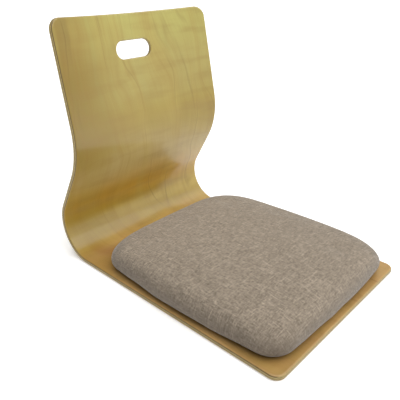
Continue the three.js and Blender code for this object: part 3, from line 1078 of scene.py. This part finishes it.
def cloth_places(places):
    """Unrolled places on the cloth: straight over the crown, and on down the side from the shoulder."""
    angles = np.linspace(shoulder_angle, -pi / 2, cloth_side_steps)
    reach = np.where(angles > 0, pad_shoulder_reach, pad_side_draw_in)
    rise = np.where(angles > 0, shoulder_rise, pad_widest_height)
    inset = reach * (1 - np.cos(angles))
    z = pad_bottom + pad_widest_height + rise * np.sin(angles)
    run = np.concatenate([[0], np.cumsum(np.hypot(np.diff(inset), np.diff(z)))])
    unrolled = run + inset - inset[0]
    extra = np.interp(-places[:, 2], -z, unrolled)
    x, y = places[:, 0], places[:, 1] - pad_middle_y
    slope_x = np.sign(x) * (np.abs(x) / pad_half_width) ** cloth_corner_power / pad_half_width
    slope_y = np.sign(y) * (np.abs(y) / pad_half_depth) ** cloth_corner_power / pad_half_depth
    length = np.maximum(np.hypot(slope_x, slope_y), least_slope)
    return np.stack([x + extra * slope_x / length, y + extra * slope_y / length], axis=1)


def open_below(piece):
    """Take the flat underside out inside the hem, so that the cover is a skin turned in under the pad."""
    hem_inset = pad_side_draw_in + hem_width
    edge = pad_ring(hem_inset, 0.0, pad_corner_radius - hem_inset)[:, :2]
    mesh = bmesh.new()
    mesh.from_mesh(piece.data)
    mesh.faces.ensure_lookup_table()
    middles = np.array([face.calc_center_median() for face in mesh.faces])
    flat = (middles[:, 2] < middles[:, 2].min() + voxel_size / 2) & inside_loop(middles[:, :2], edge)
    bmesh.ops.delete(mesh, geom=[mesh.faces[i] for i in np.flatnonzero(flat)], context="FACES")
    mesh.to_mesh(piece.data)
    mesh.free()


def build_cover():
    cover = pad_solid("seat_pad_cover", blank_depth, blank_crown, base_wave_depth)
    remesh = cover.modifiers.new("remesh", "REMESH")
    remesh.mode = "VOXEL"
    remesh.voxel_size = voxel_size
    apply_modifiers(cover)
    swell(cover)
    subdivision = cover.modifiers.new("subdivision", "SUBSURF")
    subdivision.levels = 1
    apply_modifiers(cover)
    open_below(cover)
    skin = cover.modifiers.new("skin", "SOLIDIFY")
    skin.thickness = cover_thickness
    skin.offset = -1
    apply_modifiers(cover)
    cover.data.shade_smooth()
    set_uv(cover, "cloth", cloth_places(vertex_places(cover)))
    dress(cover, materials["linen_fabric"], "pad_cover")


def build_foam():
    foam = pad_solid("seat_pad_foam", cover_thickness + foam_clearance, blank_crown)
    dress(foam, materials["foam"], "pad_foam")


# Screws

def ring(radius, z):
    return [(*place, z) for place in circle(0, 0, radius)]


def hexagon(across, z):
    """A hexagonal ring with as many points as a round one."""
    angles = np.linspace(0, 2 * pi, round_steps, endpoint=False)
    radii = across / 2 / np.cos((angles + pi / 6) % (pi / 3) - pi / 6)
    return [(radius * cos(angle), radius * sin(angle), z) for radius, angle in zip(radii, angles)]


def build_screw(name, x, y):
    """Countersunk machine screw seen from below, with a hexagonal socket in its head."""
    head, shank = screw_head_diameter / 2, screw_diameter / 2
    bottom, top = screw_head_sunk, screw_head_sunk + screw_length
    floor = bottom + screw_socket_depth
    socket, edge = screw_socket_across, screw_edge_break
    rings = [
        hexagon(socket, floor),
        hexagon(socket, bottom + edge),
        hexagon(socket + 2 * edge, bottom),
        ring(head - edge, bottom),
        ring(head, bottom + edge),
        ring(shank, bottom + edge + head - shank),
        ring(shank, top - 2 * edge),
        ring(shank - 2 * edge, top),
    ]
    outward = [np.array(points) + [x, y, 0] for points in rings]
    floor_point = np.array([[x, y, floor + screw_socket_point]])
    piece = closed_stack(f"screw_{name}", outward, floor_point, np.array([[x, y, top]]))
    dress(piece, materials["zinc_plated_steel"], f"seat_screw_{name}")


def build_screws():
    for name, (x, y) in screw_places.items():
        build_screw(name, x, y)


def finish_carried_nodes():
    """Hidden CAD nodes that are right as they are get their own finish."""
    finishes = {
        "flanged_nut": "zinc_plated_steel",
        "hem_staple": "zinc_plated_steel",
        "pad_board": "plain_plywood",
        "pad_under_lining": "under_lining",
    }
    for name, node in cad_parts.items():
        for beginning, finish in finishes.items():
            if name.startswith(beginning):
                node.data.materials.clear()
                node.data.materials.append(materials[finish])


# Studio

def build_floor():
    """A wide white floor that glows a little, so that the ground round the chair is white."""
    signs = [(-1, -1), (1, -1), (1, 1), (-1, 1)]
    corners = [(sign_x * floor_reach, sign_y * floor_reach, 0) for sign_x, sign_y in signs]
    floor = add_mesh("studio_floor", corners, [(0, 1, 2, 3)])
    graph = Graph("studio_floor")
    tone = graph.noise(graph.place(), scale=floor_patches_per_metre)
    graph.finish(
        Base_Color=graph.tinted(srgb(247, 247, 246), tone, 0.3, 0.7, 1.0, srgb(250, 250, 250)),
        Roughness=0.8,
        Specular_IOR_Level=0.1,
        Emission_Color=srgb(255, 255, 255),
        Emission_Strength=floor_glow,
    )
    floor.data.materials.append(graph.material)
    floor.location.z = cad_low.z


def add_key_light():
    """A light from high up and a little in front, so wide that its shadows are soft."""
    light = bpy.data.lights.new("key", "SUN")
    light.energy = key_strength
    light.angle = key_spread
    lamp = bpy.data.objects.new("key", light)
    lamp.rotation_euler = Vector(key_direction).to_track_quat("Z", "Y").to_euler()
    bpy.context.scene.collection.objects.link(lamp)


def build_room():
    """A dim room with two soft bright areas: in front of the chair on its left, and above that side."""
    world = bpy.data.worlds.new("studio")
    bpy.context.scene.world = world
    world.use_nodes = True
    nodes = world.node_tree.nodes
    links = world.node_tree.links
    direction = nodes.new("ShaderNodeTexCoord").outputs["Generated"]
    strength = nodes["Background"].inputs["Strength"]
    glows = [
        (front_glow_direction, front_glow_spread, front_glow_brightness),
        (upper_glow_direction, upper_glow_spread, upper_glow_brightness),
    ]
    total = None
    for middle, (full_angle, last_angle), brightness in glows:
        facing = nodes.new("ShaderNodeVectorMath")
        facing.operation = "DOT_PRODUCT"
        facing.inputs[1].default_value = Vector(middle).normalized()
        links.new(direction, facing.inputs[0])
        glow = nodes.new("ShaderNodeMapRange")
        glow.interpolation_type = "SMOOTHSTEP"
        glow.inputs["From Min"].default_value = cos(last_angle)
        glow.inputs["From Max"].default_value = cos(full_angle)
        glow.inputs["To Max"].default_value = brightness
        links.new(facing.outputs["Value"], glow.inputs["Value"])
        added = nodes.new("ShaderNodeMath")
        added.inputs[0].default_value = room_brightness
        if total:
            links.new(total, added.inputs[0])
        links.new(glow.outputs["Result"], added.inputs[1])
        total = added.outputs[0]
    links.new(total, strength)
    nodes["Background"].inputs["Color"].default_value = srgb(255, 255, 255)


def build_lights():
    """The room's own light and the key light, shown without any grading."""
    build_room()
    add_key_light()
    bpy.context.scene.view_settings.view_transform = "Standard"


def build_camera():
    data = bpy.data.cameras.new("camera")
    data.lens = focal_length_pixels / image_size * data.sensor_width
    data.shift_x = (image_size / 2 - principal_point[0]) / image_size
    data.shift_y = (principal_point[1] - image_size / 2) / image_size
    camera = bpy.data.objects.new("camera", data)
    level = cos(camera_elevation)
    back = Vector((sin(camera_azimuth) * level, -cos(camera_azimuth) * level, sin(camera_elevation)))
    right = Vector((cos(camera_azimuth), sin(camera_azimuth), 0))
    up = back.cross(right)
    turn = Matrix((right, up, back)).transposed() @ Matrix.Rotation(camera_roll, 3, "Z")
    camera.matrix_world = Matrix.LocRotScale(camera_place, turn.to_quaternion(), None)
    bpy.context.scene.collection.objects.link(camera)
    bpy.context.scene.camera = camera


build_camera()
build_shell()
build_cover()
build_foam()
build_screws()
finish_carried_nodes()
build_floor()
build_lights()
